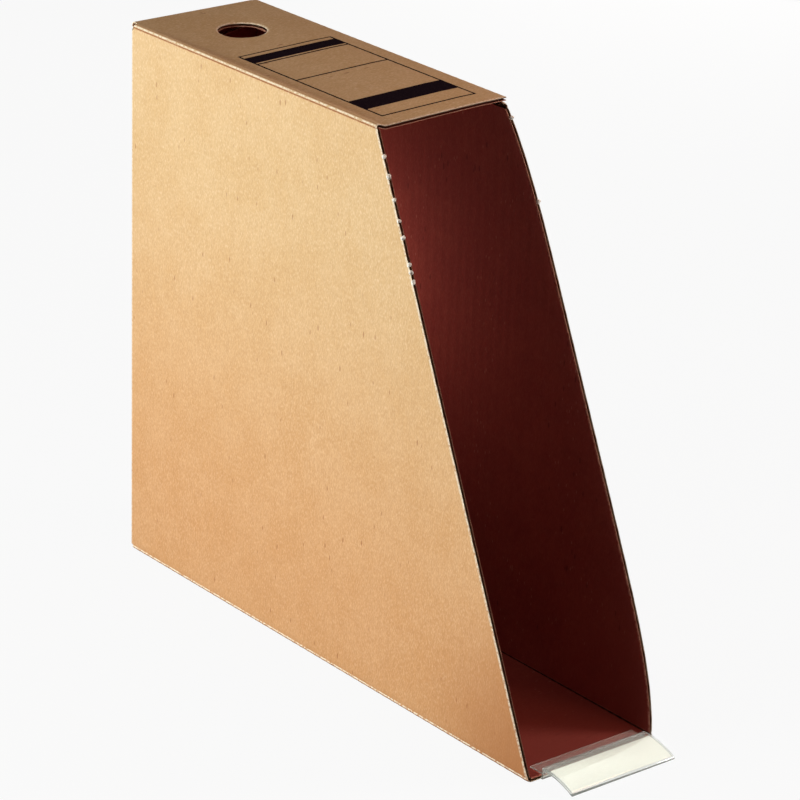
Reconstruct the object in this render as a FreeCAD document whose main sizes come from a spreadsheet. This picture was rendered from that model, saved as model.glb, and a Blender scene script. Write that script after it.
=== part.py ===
"""A corrugated cardboard magazine file that stands on its longest panel, with a clip-on label holder.

The row frame: +Z is up, the open slanted front faces -Y, and the origin is the centre of the
underside of the floor. Every panel is B-flute board, made of three plies glued together: an outer
liner, the fluting and an inner liner. Lengths are in millimetres and angles in degrees.
"""
import FreeCAD, Part
import Sketcher
import math
import os

Vector = FreeCAD.Vector
Rotation = FreeCAD.Rotation
X_AXIS, Y_AXIS, Z_AXIS = Vector(1, 0, 0), Vector(0, 1, 0), Vector(0, 0, 1)

doc = FreeCAD.newDocument("magazine_file")

# ---------------------------------------------------------------------------------------------
# Driving dimensions
# ---------------------------------------------------------------------------------------------

DRIVING_SIZES = (
    ("box_width", 80, "outside, across the two side panels at the back"),
    ("box_height", 290, "outside, floor to top panel"),
    ("floor_length", 330, "outside, back closure to the floor's front edge"),
    ("top_length", 202, "outside, back closure to the top panel's front edge"),
    ("board", 2.5, "thickness of the corrugated board"),
    ("liner", 0.3, "thickness of each paper liner"),
    ("play", 0.4, "gap where one folded panel passes another"),
    ("crease", 0.2, "gap across the crease of a panel that folds in use"),
    ("side_bow", 8.9, "how far the right panel bulges above the floor's front edge"),
    ("hole_radius", 12.5, "finger hole"),
    ("hole_setback", 42, "finger hole's centre from the back closure"),
    ("glue_flap_width", 20, "manufacturer's joint, under the top panel"),
    ("glue_flap_setback", 12, "glue flap's front end behind the right panel's front edge"),
    ("flap_taper", 6, "how much a flap narrows at each end"),
    ("dust_flap_gap", 7, "between the two dust flaps' free edges"),
    ("dust_flap_lift", 14, "dust flap's lower edge above the ground"),
    ("dust_flap_drop", 6, "dust flap's upper edge below the glue flap"),
    ("back_inset", 3.2, "back panel's edge from the side panel's outer face"),
    ("tuck_flap_depth", 28, "from the back panel's inner face"),
    ("tuck_flap_side_gap", 1.5, "from the side panel's inner face"),
    ("tuck_flap_slope", 5, "degrees that the tuck flap springs up from the floor"),
    ("holder_left_gap", 6.1, "label holder's end from the left panel's inner face"),
    ("holder_right_gap", 4.5, "label holder's end from the right panel's inner face"),
    ("upper_leg", 8.5, "how far the clip lies on the floor"),
    ("lower_leg", 7, "how far the clip reaches under the floor"),
    ("plastic", 0.7, "wall of the clip"),
    ("clip_play", 0.1, "gap between the clip and the board or the ground"),
    ("ridge_height", 6.2, "top of the label holder above the ground"),
    ("window_reach", 22, "how far the window stands out in front of the floor"),
    ("lip_height", 1.8, "window's outer face at its lip above the ground"),
    ("window_crown", 1.6, "how far the window bulges above its chord"),
    ("window_wall", 0.6, "each of the window's two walls"),
    ("window_band", 4.5, "solid band between the ridge and the card slot"),
    ("card_slot", 0.5, "gap between the window's walls"),
    ("card", 0.3, "thickness of the label card"),
    ("card_play", 0.3, "gap between the card's long edges and the slot's ends"),
    ("card_inset", 1.2, "card's short edge from the holder's end"),
)

sheet = doc.addObject("Spreadsheet::Sheet", "Sizes")
for row, (alias, size, meaning) in enumerate(DRIVING_SIZES, start=1):
    sheet.set(f"A{row}", str(size))
    sheet.set(f"B{row}", meaning)
    sheet.setAlias(f"A{row}", alias)
doc.recompute()

# Formulas over the sheet, for the objects that are bound to it.
HEIGHT, BOARD, LINER = "Sizes.box_height", "Sizes.board", "Sizes.liner"
LEFT, RIGHT = "(-Sizes.box_width / 2)", "(Sizes.box_width / 2)"
FRONT, BACK = "(-Sizes.floor_length / 2)", "(Sizes.floor_length / 2)"
TOP_FRONT = f"({BACK} - Sizes.top_length)"
LEFT_INSIDE, RIGHT_INSIDE = f"({LEFT} + {BOARD})", f"({RIGHT} - {BOARD})"
BACK_INSIDE = f"({BACK} - {BOARD})"
SLEEVE_BACK = f"({BACK_INSIDE} - Sizes.play)"
SIDE_FOLD = f"({SLEEVE_BACK} - {BOARD})"
UNDER_TOP = f"({HEIGHT} - {BOARD})"
UNDER_GLUE_FLAP = f"({HEIGHT} - 2 * {BOARD})"
TUCK_FOLD = f"(2 * {BOARD} + Sizes.play)"
HOLDER_LEFT = f"({LEFT_INSIDE} + Sizes.holder_left_gap)"
HOLDER_RIGHT = f"({RIGHT_INSIDE} - Sizes.holder_right_gap)"
HOLE_X, HOLE_Y = f"({BOARD} / 2)", f"({BACK} - Sizes.hole_setback)"

# Each ply of a board: how far below the board's outer face it starts and ends.
PLIES = {
    "outer_liner": ("0", LINER),
    "fluting": (LINER, f"({BOARD} - {LINER})"),
    "inner_liner": (f"({BOARD} - {LINER})", BOARD),
}

# The finished pieces, by the names that they are written under.
subparts = {}


def number(formula):
    """A formula over the sheet as a number, for the shapes that are worked out here."""
    result = sheet.evalExpression(formula.replace("Sizes.", ""))
    return float(getattr(result, "Value", result))


def slant(z):
    """Where the slanted front edge is along Y, at a height."""
    return f"({FRONT} + ({TOP_FRONT} - {FRONT}) * ({z}) / {HEIGHT})"


# ---------------------------------------------------------------------------------------------
# Shapes bound to the sheet
# ---------------------------------------------------------------------------------------------


def bind(thing, **formulas):
    for prop, formula in formulas.items():
        thing.setExpression(prop, str(formula))
    return thing


def move(thing, *place):
    for axis, formula in zip("xyz", place):
        thing.setExpression(f".Placement.Base.{axis}", str(formula))
    return thing


def slab(name, low, high):
    """A box between two corners."""
    box = doc.addObject("Part::Box", name)
    length, width, height = (f"{b} - {a}" for a, b in zip(low, high))
    return move(bind(box, Length=length, Width=width, Height=height), *low)


def joined(name, pieces):
    fusion = doc.addObject("Part::MultiFuse", name)
    fusion.Shapes = pieces
    fusion.Refine = True
    return fusion


def without(name, base, tool):
    cut = doc.addObject("Part::Cut", name)
    cut.Base, cut.Tool = base, tool
    return cut


def fix(sketch, kind, geometry, vertex, formula):
    """Holds a sketch point at a distance from the sketch's origin."""
    held = sketch.addConstraint(Sketcher.Constraint(kind, -1, 1, geometry, vertex, 1.0))
    sketch.setExpression(f"Constraints[{held}]", str(formula))


def outlined(name, plane, points, start, thickness, hole=None):
    """A flat piece padded from an outline of (across, up) formulas, with an optional round hole.

    start is where the pad begins along the plane's normal: +Z for XY_Plane, +X for YZ_Plane and
    -Y for XZ_Plane. hole is (across, up, radius).
    """
    body = doc.addObject("PartDesign::Body", name)
    sketch = body.newObject("Sketcher::SketchObject", f"{name}_outline")
    plane_feature = next(f for f in body.Origin.OriginFeatures if f.Role == plane)
    sketch.AttachmentSupport = [(plane_feature, "")]
    sketch.MapMode = "FlatFace"
    sketch.setExpression(".AttachmentOffset.Base.z", str(start))
    # The corners start on their places, worked out once; the constraints then hold them there.
    corners = [Vector(number(across), number(up), 0) for across, up in points]
    for i, corner in enumerate(corners):
        sketch.addGeometry(Part.LineSegment(corner, corners[(i + 1) % len(corners)]), False)
    for i in range(len(corners)):
        sketch.addConstraint(Sketcher.Constraint("Coincident", i, 2, (i + 1) % len(corners), 1))
    for i, (across, up) in enumerate(points):
        fix(sketch, "DistanceX", i, 1, across)
        fix(sketch, "DistanceY", i, 1, up)
    if hole:
        across, up, radius = hole
        centre = Vector(number(across), number(up), 0)
        circle = sketch.addGeometry(Part.Circle(centre, Z_AXIS, number(radius)), False)
        fix(sketch, "DistanceX", circle, 3, across)
        fix(sketch, "DistanceY", circle, 3, up)
        held = sketch.addConstraint(Sketcher.Constraint("Radius", circle, number(radius)))
        sketch.setExpression(f"Constraints[{held}]", str(radius))
    pad = body.newObject("PartDesign::Pad", f"{name}_pad")
    pad.Profile = sketch
    bind(pad, Length=thickness)
    body.Tip = pad
    return body


def fold(name, ply, inner_corner, from_direction, to_direction, length):
    """One ply's quarter round, where a board turns a corner: its axis is the inner corner's edge.

    The round runs from one direction to the other, and along their cross product.
    """
    start, end = PLIES[ply]
    turned = Rotation(from_direction, to_direction, from_direction.cross(to_direction), "XYZ")

    def quarter(label, depth):
        cylinder = doc.addObject("Part::Cylinder", label)
        cylinder.Placement = FreeCAD.Placement(Vector(), turned)
        cylinder.Angle = 90
        return move(bind(cylinder, Radius=f"{BOARD} - {depth}", Height=length), *inner_corner)

    if ply == "fluting":
        return quarter(name, start)
    return without(name, quarter(f"{name}_outside", start), quarter(f"{name}_inside", end))


# ---------------------------------------------------------------------------------------------
# Sleeve: floor, left side, top, right side and the glue flap that closes the ring
# ---------------------------------------------------------------------------------------------

# What the tear line and the die take off the front of both side panels.
REACH = f"({RIGHT} + Sizes.side_bow + {BOARD})"
torn_off_front = outlined(
    "torn_off_front",
    "YZ_Plane",
    [
        (slant(f"-{BOARD}"), f"-{BOARD}"),
        (slant(f"{HEIGHT} + {BOARD}"), f"{HEIGHT} + {BOARD}"),
        (f"{FRONT} - {BOARD}", f"{HEIGHT} + {BOARD}"),
        (f"{FRONT} - {BOARD}", f"-{BOARD}"),
    ],
    f"-{REACH}",
    f"2 * {REACH}",
)

FOLD_LENGTH = f"({SIDE_FOLD} - {FRONT})"
# A dust flap's fold stops just short of the floor's and the top's, where the die notches the corner.
NOTCH_TOP = f"({BOARD} + Sizes.play)"


def floor_ply(ply):
    """The floor is crushed thinner where the clip's lower leg goes under it, so it stands flat."""
    name = f"floor_{ply}"
    start, end = PLIES[ply]
    if ply == "inner_liner":
        return slab(name, (LEFT_INSIDE, FRONT, start), (RIGHT_INSIDE, SLEEVE_BACK, end))
    sheet_of_ply = slab(f"{name}_sheet", (LEFT_INSIDE, FRONT, start), (RIGHT_INSIDE, SLEEVE_BACK, end))
    left, right = f"({HOLDER_LEFT} - Sizes.play)", f"({HOLDER_RIGHT} + Sizes.play)"
    depth = "(Sizes.lower_leg + Sizes.play)"
    crush = "(Sizes.plastic + 2 * Sizes.clip_play)"
    crushed = slab(
        f"{name}_crushed",
        (f"({left} - {LINER})", FRONT, "0"),
        (f"({right} + {LINER})", f"({FRONT} + {depth} + {LINER})", f"({crush} + {LINER})"),
    )
    if ply == "fluting":
        return without(name, sheet_of_ply, crushed)
    recess = slab(
        f"{name}_recess",
        (left, f"({FRONT} - {BOARD})", f"-{BOARD}"),
        (right, f"({FRONT} + {depth})", crush),
    )
    return without(name, joined(f"{name}_pressed", [sheet_of_ply, crushed]), recess)


def left_side_ply(ply):
    """Flat panel with rounded folds to the floor, the top panel and the left dust flap."""
    name = f"left_side_{ply}"
    start, end = PLIES[ply]
    low = (f"({LEFT} + {start})", FRONT, BOARD)
    high = (f"({LEFT} + {end})", SIDE_FOLD, UNDER_TOP)
    pieces = [slab(f"{name}_panel", low, high)]
    if ply != "inner_liner":
        bottom = (LEFT_INSIDE, SIDE_FOLD, BOARD)
        top = (LEFT_INSIDE, SIDE_FOLD, UNDER_TOP)
        notched = (LEFT_INSIDE, SIDE_FOLD, NOTCH_TOP)
        upright = f"{UNDER_TOP} - Sizes.play - {NOTCH_TOP}"
        pieces = [
            *pieces,
            fold(f"{name}_floor_fold", ply, bottom, -X_AXIS, -Z_AXIS, FOLD_LENGTH),
            fold(f"{name}_top_fold", ply, top, Z_AXIS, -X_AXIS, FOLD_LENGTH),
            fold(f"{name}_dust_flap_fold", ply, notched, Y_AXIS, -X_AXIS, upright),
        ]
        pieces = [joined(f"{name}_folded", pieces)]
    return without(name, pieces[0], torn_off_front)


def bowed_panel(name, ply):
    """The right panel is straight at the back and bulges outwards towards its free front edge.

    Each ply is a ruled loft from a straight strip at the back fold to a bowed strip at the front.
    """
    start, end = (number(f"{RIGHT} - {depth}") for depth in PLIES[ply])
    low, high = number(BOARD), number(UNDER_GLUE_FLAP)
    back, front, bow = number(SIDE_FOLD), number(FRONT), number("Sizes.side_bow")
    stations = 13

    def strip(y, bulge):
        """A closed wire across the ply at one place along Y."""

        def edge(x):
            points = []
            for i in range(stations):
                along = i / (stations - 1)
                full = 1 - (2 * along - 1) ** 6
                points.append(Vector(x + bulge * full, y, low + (high - low) * along))
            curve = Part.BSplineCurve()
            curve.interpolate(points)
            return curve.toShape()

        outer, inner = edge(start), edge(end)
        ends = [
            Part.makeLine(Vector(start, y, z), Vector(end, y, z))
            for z in (low, high)
        ]
        return Part.Wire(Part.__sortEdges__([outer, ends[1], inner, ends[0]]))

    panel = doc.addObject("Part::Feature", name)
    panel.Shape = Part.makeLoft([strip(back, 0), strip(front, bow)], True, True)
    return panel


def right_side_ply(ply):
    """Bowed panel with rounded folds to the floor, the glue flap and the right dust flap."""
    name = f"right_side_{ply}"
    pieces = [bowed_panel(f"{name}_panel", ply)]
    if ply != "inner_liner":
        bottom = (RIGHT_INSIDE, SIDE_FOLD, BOARD)
        top = (RIGHT_INSIDE, SIDE_FOLD, UNDER_GLUE_FLAP)
        notched = (RIGHT_INSIDE, SIDE_FOLD, NOTCH_TOP)
        upright = f"{UNDER_GLUE_FLAP} - Sizes.play - {NOTCH_TOP}"
        pieces = [
            *pieces,
            fold(f"{name}_floor_fold", ply, bottom, -Z_AXIS, X_AXIS, FOLD_LENGTH),
            fold(f"{name}_glue_flap_fold", ply, top, X_AXIS, Z_AXIS, FOLD_LENGTH),
            fold(f"{name}_dust_flap_fold", ply, notched, X_AXIS, Y_AXIS, upright),
        ]
        pieces = [joined(f"{name}_folded", pieces)]
    return without(name, pieces[0], torn_off_front)


def top_ply(ply):
    """The top panel lies over the glue flap, has the finger hole and folds down to the back."""
    name = f"top_{ply}"
    start, end = PLIES[ply]
    outline = [(LEFT_INSIDE, TOP_FRONT), (RIGHT, TOP_FRONT), (RIGHT, BACK_INSIDE), (LEFT_INSIDE, BACK_INSIDE)]
    hole = (HOLE_X, HOLE_Y, "Sizes.hole_radius")
    flat = name if ply == "inner_liner" else f"{name}_panel"
    panel = outlined(flat, "XY_Plane", outline, f"{HEIGHT} - {end}", f"{end} - {start}", hole)
    if ply == "inner_liner":
        return panel
    corner = (LEFT_INSIDE, BACK_INSIDE, UNDER_TOP)
    rounded = fold(f"{name}_back_fold", ply, corner, Y_AXIS, Z_AXIS, f"{RIGHT} - {LEFT_INSIDE}")
    return joined(name, [panel, rounded])


def glue_flap_ply(ply):
    """Turned in from the right panel's top edge, glued under the top panel, and clear of its hole."""
    name = f"glue_flap_{ply}"
    start, end = PLIES[ply]
    free_edge = f"({RIGHT_INSIDE} - Sizes.glue_flap_width)"
    front_end = f"({slant(UNDER_TOP)} + Sizes.glue_flap_setback)"
    outline = [
        (RIGHT_INSIDE, front_end),
        (RIGHT_INSIDE, SIDE_FOLD),
        (free_edge, f"({SIDE_FOLD} - Sizes.flap_taper)"),
        (free_edge, f"({front_end} + Sizes.flap_taper)"),
    ]
    flap = outlined(f"{name}_sheet", "XY_Plane", outline, f"{UNDER_TOP} - {end}", f"{end} - {start}")
    hole = doc.addObject("Part::Cylinder", f"{name}_hole")
    move(bind(hole, Radius="Sizes.hole_radius", Height=f"2 * {BOARD}"), HOLE_X, HOLE_Y, UNDER_GLUE_FLAP)
    return without(name, flap, hole)


# ---------------------------------------------------------------------------------------------
# Back closure: two dust flaps, the back panel and its tuck flap
# ---------------------------------------------------------------------------------------------


def dust_flap_ply(side, ply):
    """Folded in from a side panel's back edge, just inside the back panel."""
    start, end = PLIES[ply]
    inward = "+" if side == "left" else "-"
    fold_line = LEFT_INSIDE if side == "left" else RIGHT_INSIDE
    root = f"({fold_line} {inward} Sizes.crease)"
    tip = "(-Sizes.dust_flap_gap / 2)" if side == "left" else "(Sizes.dust_flap_gap / 2)"
    low, high = "Sizes.dust_flap_lift", f"({UNDER_GLUE_FLAP} - Sizes.dust_flap_drop)"
    outline = [
        (root, low),
        (tip, f"({low} + Sizes.flap_taper)"),
        (tip, f"({high} - Sizes.flap_taper)"),
        (root, high),
    ]
    name = f"{side}_dust_flap_{ply}"
    return outlined(name, "XZ_Plane", outline, f"{start} - {SLEEVE_BACK}", f"{end} - {start}")


TUCK_HALF_WIDTH = f"({RIGHT_INSIDE} - Sizes.tuck_flap_side_gap)"


def back_ply(ply):
    """Hangs from the top panel's back fold and turns under into the tuck flap."""
    name = f"back_{ply}"
    start, end = PLIES[ply]
    low = (f"({LEFT} + Sizes.back_inset)", f"({BACK} - {end})", TUCK_FOLD)
    high = (f"({RIGHT} - Sizes.back_inset)", f"({BACK} - {start})", f"({UNDER_TOP} - Sizes.crease)")
    if ply == "inner_liner":
        return slab(name, low, high)
    panel = slab(f"{name}_panel", low, high)
    corner = (f"-{TUCK_HALF_WIDTH}", BACK_INSIDE, TUCK_FOLD)
    rounded = fold(f"{name}_tuck_fold", ply, corner, -Z_AXIS, Y_AXIS, f"2 * {TUCK_HALF_WIDTH}")
    return joined(name, [panel, rounded])


def tuck_flap_ply(ply):
    """Slides in over the floor; its crease is its own origin, and it springs up a few degrees."""
    start, end = PLIES[ply]
    outline = [
        (f"-{TUCK_HALF_WIDTH}", "-Sizes.crease"),
        (f"-{TUCK_HALF_WIDTH}", "Sizes.flap_taper - Sizes.tuck_flap_depth"),
        (f"Sizes.flap_taper - {TUCK_HALF_WIDTH}", "-Sizes.tuck_flap_depth"),
        (f"{TUCK_HALF_WIDTH} - Sizes.flap_taper", "-Sizes.tuck_flap_depth"),
        (TUCK_HALF_WIDTH, "Sizes.flap_taper - Sizes.tuck_flap_depth"),
        (TUCK_HALF_WIDTH, "-Sizes.crease"),
    ]
    flap = outlined(f"tuck_flap_{ply}", "XY_Plane", outline, f"{start} - {BOARD}", f"{end} - {start}")
    flap.Placement = FreeCAD.Placement(Vector(), Rotation(-X_AXIS, 1))
    flap.setExpression(".Placement.Rotation.Angle", "Sizes.tuck_flap_slope")
    return move(flap, "0", BACK_INSIDE, TUCK_FOLD)


# ---------------------------------------------------------------------------------------------
# Label holder and its card
# ---------------------------------------------------------------------------------------------


class Window:
    """The arc of the label window, in the YZ plane, as angles about its centre and radii.

    It springs from the ridge over the floor's front edge and falls forwards to its lip.
    """

    def __init__(self):
        front = number(FRONT)
        ridge = Vector(0, front - number("Sizes.clip_play"), number("Sizes.ridge_height"))
        lip = Vector(0, front - number("Sizes.window_reach"), number("Sizes.lip_height"))
        crown = number("Sizes.window_crown")
        chord = lip - ridge
        self.outside = (chord.Length**2 / 4 + crown**2) / (2 * crown)
        above = chord.cross(X_AXIS).normalize()
        if above.z < 0:
            above = -above
        self.centre = (ridge + lip) / 2 - above * (self.outside - crown)
        self.ridge_angle = self.angle_of(ridge)
        self.lip_angle = self.angle_of(lip)
        self.slot_outside = self.outside - number("Sizes.window_wall")
        self.slot_inside = self.slot_outside - number("Sizes.card_slot")
        self.inside = self.slot_inside - number("Sizes.window_wall")
        self.slot_start = self.ridge_angle + number("Sizes.window_band") / self.outside
        self.slot_end = self.lip_angle - number("Sizes.window_wall") / self.outside

    def angle_of(self, point):
        """From straight up, growing towards the front."""
        return math.atan2(self.centre.y - point.y, point.z - self.centre.z)

    def point(self, radius, angle):
        return self.centre + Vector(0, -math.sin(angle), math.cos(angle)) * radius

    def band(self, inside, outside, start, end):
        """The face between two radii and two angles."""
        middle = (start + end) / 2
        arcs = [
            Part.Arc(*(self.point(radius, angle) for angle in (start, middle, end))).toShape()
            for radius in (inside, outside)
        ]
        ends = [
            Part.makeLine(self.point(inside, angle), self.point(outside, angle))
            for angle in (start, end)
        ]
        return Part.Face(Part.Wire(Part.__sortEdges__([arcs[0], ends[1], arcs[1], ends[0]])))


def strip_section(front, back, low, high):
    """A rectangle in the YZ plane."""
    corners = [(front, low), (back, low), (back, high), (front, high), (front, low)]
    return Part.Face(Part.makePolygon([Vector(0, y, z) for y, z in corners]))


def along_holder(name, inset, sections, slot=None):
    """A Part::Feature that runs along the holder, that far in from each of its ends."""
    left = number(HOLDER_LEFT) + inset
    length = number(HOLDER_RIGHT) - inset - left
    first, *others = [section.extrude(X_AXIS * length) for section in sections]
    solid = first.fuse(others).removeSplitter() if others else first
    if slot:
        solid = solid.cut(slot.extrude(X_AXIS * length))
    thing = doc.addObject("Part::Feature", name)
    thing.Shape = solid.Solids[0]
    thing.Placement = FreeCAD.Placement(Vector(left, 0, 0), Rotation())
    return thing


def label_holder(window):
    """One clear extrusion: a U clip round the floor's edge, and a window with a slot for the card."""
    front, on_floor = number(FRONT), number(f"{BOARD} + Sizes.clip_play")
    plastic, play = number("Sizes.plastic"), number("Sizes.clip_play")
    lower_leg, upper_leg = front + number("Sizes.lower_leg"), front + number("Sizes.upper_leg")
    web_back, web_front = front - play, front - play - plastic
    middle = (window.inside + window.outside) / 2
    web_top = window.point(middle, window.ridge_angle).z
    lip = Part.makeCircle(window.outside - middle, window.point(middle, window.lip_angle), X_AXIS)
    sections = [
        window.band(window.inside, window.outside, window.ridge_angle, window.lip_angle),
        Part.Face(Part.Wire(lip)),
        strip_section(web_front, web_back, play, web_top),
        strip_section(web_front, lower_leg, play, play + plastic),
        strip_section(web_front, upper_leg, on_floor, on_floor + plastic),
    ]
    slot = window.band(window.slot_inside, window.slot_outside, window.slot_start, window.slot_end)
    return along_holder("label_holder", 0, sections, slot)


def label_card(window):
    """A strip of card, curved as the slot holds it."""
    middle = (window.slot_inside + window.slot_outside) / 2
    half = number("Sizes.card") / 2
    play = number("Sizes.card_play") / window.outside
    section = window.band(middle - half, middle + half, window.slot_start + play, window.slot_end - play)
    return along_holder("label_card", number("Sizes.card_inset"), [section])


# ---------------------------------------------------------------------------------------------
# Build, check and write
# ---------------------------------------------------------------------------------------------

PANELS = {
    "floor": floor_ply,
    "left_side": left_side_ply,
    "top": top_ply,
    "right_side": right_side_ply,
    "glue_flap": glue_flap_ply,
    "left_dust_flap": lambda ply: dust_flap_ply("left", ply),
    "right_dust_flap": lambda ply: dust_flap_ply("right", ply),
    "back": back_ply,
    "tuck_flap": tuck_flap_ply,
}
for panel, make_ply in PANELS.items():
    for ply in PLIES:
        subparts[f"{panel}_{ply}"] = make_ply(ply)

window = Window()
subparts["label_holder"] = label_holder(window)
subparts["label_card"] = label_card(window)

doc.recompute()
for thing in doc.Objects:
    if {"Invalid", "Error"} & set(thing.State):
        raise RuntimeError(f"{thing.Label} failed: {thing.State}")
for node, thing in subparts.items():
    thing.Label = node
    if thing.Shape.isNull() or not thing.Shape.isValid() or len(thing.Shape.Solids) != 1:
        raise RuntimeError(f"{node} isn't one valid solid")

os.makedirs("parts", exist_ok=True)
for node, thing in subparts.items():
    thing.Shape.exportStep(f"parts/{node}.step")
    box = thing.Shape.BoundBox
    spans = " ".join(f"{low:.2f}..{high:.2f}" for low, high in (
        (box.XMin, box.XMax), (box.YMin, box.YMax), (box.ZMin, box.ZMax)))
    print(f"{node}: {thing.Shape.Volume:.1f} mm3, {spans}")
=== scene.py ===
# %% [markdown]
# # A corrugated cardboard magazine file
#
# The real thing is one sheet of corrugated board, die cut, folded into a sleeve and closed at the back
# by flaps. The board is three papers glued together: an outer liner, a wavy fluting and an inner liner.
# We model every paper of every panel as its own thin sheet, because a cut edge of board shows all
# three, and nothing looks less like cardboard than a solid edge.
#
# The construction model is loaded first. It is fixed: our pieces go exactly where it says.

import math

import bmesh
import bpy
from mathutils import Matrix, Vector, noise


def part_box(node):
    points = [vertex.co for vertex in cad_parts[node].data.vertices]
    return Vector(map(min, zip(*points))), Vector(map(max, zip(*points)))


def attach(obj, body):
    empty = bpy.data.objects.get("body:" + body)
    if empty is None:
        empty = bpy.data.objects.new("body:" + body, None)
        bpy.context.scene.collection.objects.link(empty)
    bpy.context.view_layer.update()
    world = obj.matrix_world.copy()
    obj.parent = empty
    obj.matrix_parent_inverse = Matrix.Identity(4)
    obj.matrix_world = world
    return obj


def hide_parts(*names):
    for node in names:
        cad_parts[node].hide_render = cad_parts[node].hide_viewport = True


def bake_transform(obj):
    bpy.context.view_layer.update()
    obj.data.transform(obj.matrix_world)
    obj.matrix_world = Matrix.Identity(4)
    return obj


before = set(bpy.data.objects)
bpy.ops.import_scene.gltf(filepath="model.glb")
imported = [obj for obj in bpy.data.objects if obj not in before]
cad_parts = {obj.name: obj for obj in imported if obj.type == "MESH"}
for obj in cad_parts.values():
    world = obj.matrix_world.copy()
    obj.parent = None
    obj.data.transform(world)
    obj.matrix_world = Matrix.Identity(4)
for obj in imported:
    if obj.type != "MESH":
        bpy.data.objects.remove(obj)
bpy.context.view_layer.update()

# %% [markdown]
# ## Sizes
#
# Blender works in metres here. The main sizes are read from the frame's nodes, so that this file
# follows them. Each node's box gives a lowest and a highest corner.

# %% Sizes of the board and of the sleeve
MM = 0.001
X, Y, Z = Vector((1, 0, 0)), Vector((0, 1, 0)), Vector((0, 0, 1))

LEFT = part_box("left_side_outer_liner")[0].x
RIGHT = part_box("top_outer_liner")[1].x
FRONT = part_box("floor_inner_liner")[0].y
TOP_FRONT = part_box("top_inner_liner")[0].y
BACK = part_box("back_outer_liner")[1].y
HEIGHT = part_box("top_outer_liner")[1].z
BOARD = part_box("floor_inner_liner")[1].z
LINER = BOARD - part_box("floor_inner_liner")[0].z
SIDE_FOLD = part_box("left_side_inner_liner")[1].y
SLEEVE_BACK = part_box("floor_inner_liner")[1].y
TUCK_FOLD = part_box("back_inner_liner")[0].z
LEFT_INSIDE, RIGHT_INSIDE, BACK_INSIDE = LEFT + BOARD, RIGHT - BOARD, BACK - BOARD
UNDER_TOP, UNDER_GLUE_FLAP = HEIGHT - BOARD, HEIGHT - 2 * BOARD

FLUTE_PITCH = 6.2 * MM  # from one crest of the fluting to the next
SIDE_BOW = 8.9 * MM  # how far the right panel would bulge above the floor's front edge
FLAP_TAPER = 6 * MM  # how much a flap narrows at each end
HOLE_RADIUS, HOLE_SETBACK = 12.5 * MM, 42 * MM
HOLE = Vector((BOARD / 2, BACK - HOLE_SETBACK, HEIGHT))
sleeve_size = [round(size / MM) for size in (RIGHT - LEFT, BACK - FRONT, HEIGHT)]
print(f"board {BOARD / MM:.1f} mm, sleeve {sleeve_size} mm")

# %% [markdown]
# ## A board and its cuts
#
# Every panel is a flat area with three directions: across its flutes, along them, and outwards. A cut
# is a plane that ends the panel. We keep the cuts with the panel, because the knife also crushes the
# board: near each cut the outer paper is pressed in, and we need to know how near a point is.

# %% A panel of board


class Panel:
    """A flat panel: one corner of its outer face, its directions, its size and its cuts."""

    def __init__(self, name, corner, across, along, width, length):
        self.name, self.corner = name, Vector(corner)
        self.across, self.along, self.outward = across, along, across.cross(along)
        self.width, self.length = width, length
        self.middle = self.corner + across * width / 2 + along * length / 2
        self.cuts = []
        self.scores = []
        self.slices = []
        self.hole = None

    def at(self, across, along):
        return self.corner + self.across * across + self.along * along

    def cut(self, start, end):
        """A straight cut through two points of the outer face; it faces away from the middle."""
        normal = (end - start).cross(self.outward).normalized()
        if (self.middle - start).dot(normal) > 0:
            normal = -normal
        self.cuts.append((start, normal))

    def from_cut(self, place):
        """How far a place is from the nearest cut."""
        distances = [(start - place).dot(normal) for start, normal in self.cuts]
        if self.hole:
            distances.append((place - self.hole).to_2d().length - HOLE_RADIUS)
        return max(0, min(distances, default=1))


def rectangle(panel, sides):
    """Cuts along some of a panel's own edges: start and end are across the flutes, near and far along."""
    corners = [panel.at(a * panel.width, b * panel.length) for a, b in ((0, 0), (1, 0), (1, 1), (0, 1))]
    edges = {"near": (0, 1), "end": (1, 2), "far": (2, 3), "start": (3, 0)}
    for side in sides:
        first, last = edges[side]
        panel.cut(corners[first], corners[last])


# %% [markdown]
# ## The panels
#
# The flutes run round the sleeve, square to its long folds, as on a real box: upwards in the sides,
# and from side to side in the floor, the top and the back. The slanted cut crosses the side panels'
# flutes, so that is where the wave shows.

# %% The sleeve's panels
floor = Panel("floor", (LEFT_INSIDE, FRONT, 0), Y, X, SLEEVE_BACK - FRONT, RIGHT_INSIDE - LEFT_INSIDE)
rectangle(floor, ("start", "end"))

left_side = Panel("left_side", (LEFT, SIDE_FOLD, BOARD), -Y, Z, SIDE_FOLD - FRONT, UNDER_TOP - BOARD)
left_side.cut(Vector((LEFT, FRONT, 0)), Vector((LEFT, TOP_FRONT, HEIGHT)))

right_side = Panel("right_side", (RIGHT, FRONT, BOARD), Y, Z, SIDE_FOLD - FRONT, UNDER_GLUE_FLAP - BOARD)
right_side.cut(Vector((RIGHT, FRONT, 0)), Vector((RIGHT, TOP_FRONT, HEIGHT)))

top = Panel("top", (RIGHT, TOP_FRONT, HEIGHT), Y, -X, BACK_INSIDE - TOP_FRONT, RIGHT - LEFT_INSIDE)
rectangle(top, ("start", "near"))
top.hole = HOLE

flap_low, flap_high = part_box("glue_flap_outer_liner")
glue_flap = Panel(
    "glue_flap", (RIGHT_INSIDE, flap_low.y, UNDER_TOP), Y, -X,
    flap_high.y - flap_low.y, RIGHT_INSIDE - flap_low.x,
)
rectangle(glue_flap, ("far",))
glue_flap.cut(glue_flap.at(0, 0), glue_flap.at(FLAP_TAPER, glue_flap.length))
glue_flap.cut(glue_flap.at(glue_flap.width, 0), glue_flap.at(glue_flap.width - FLAP_TAPER, glue_flap.length))


# %% The closure's panels


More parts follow.
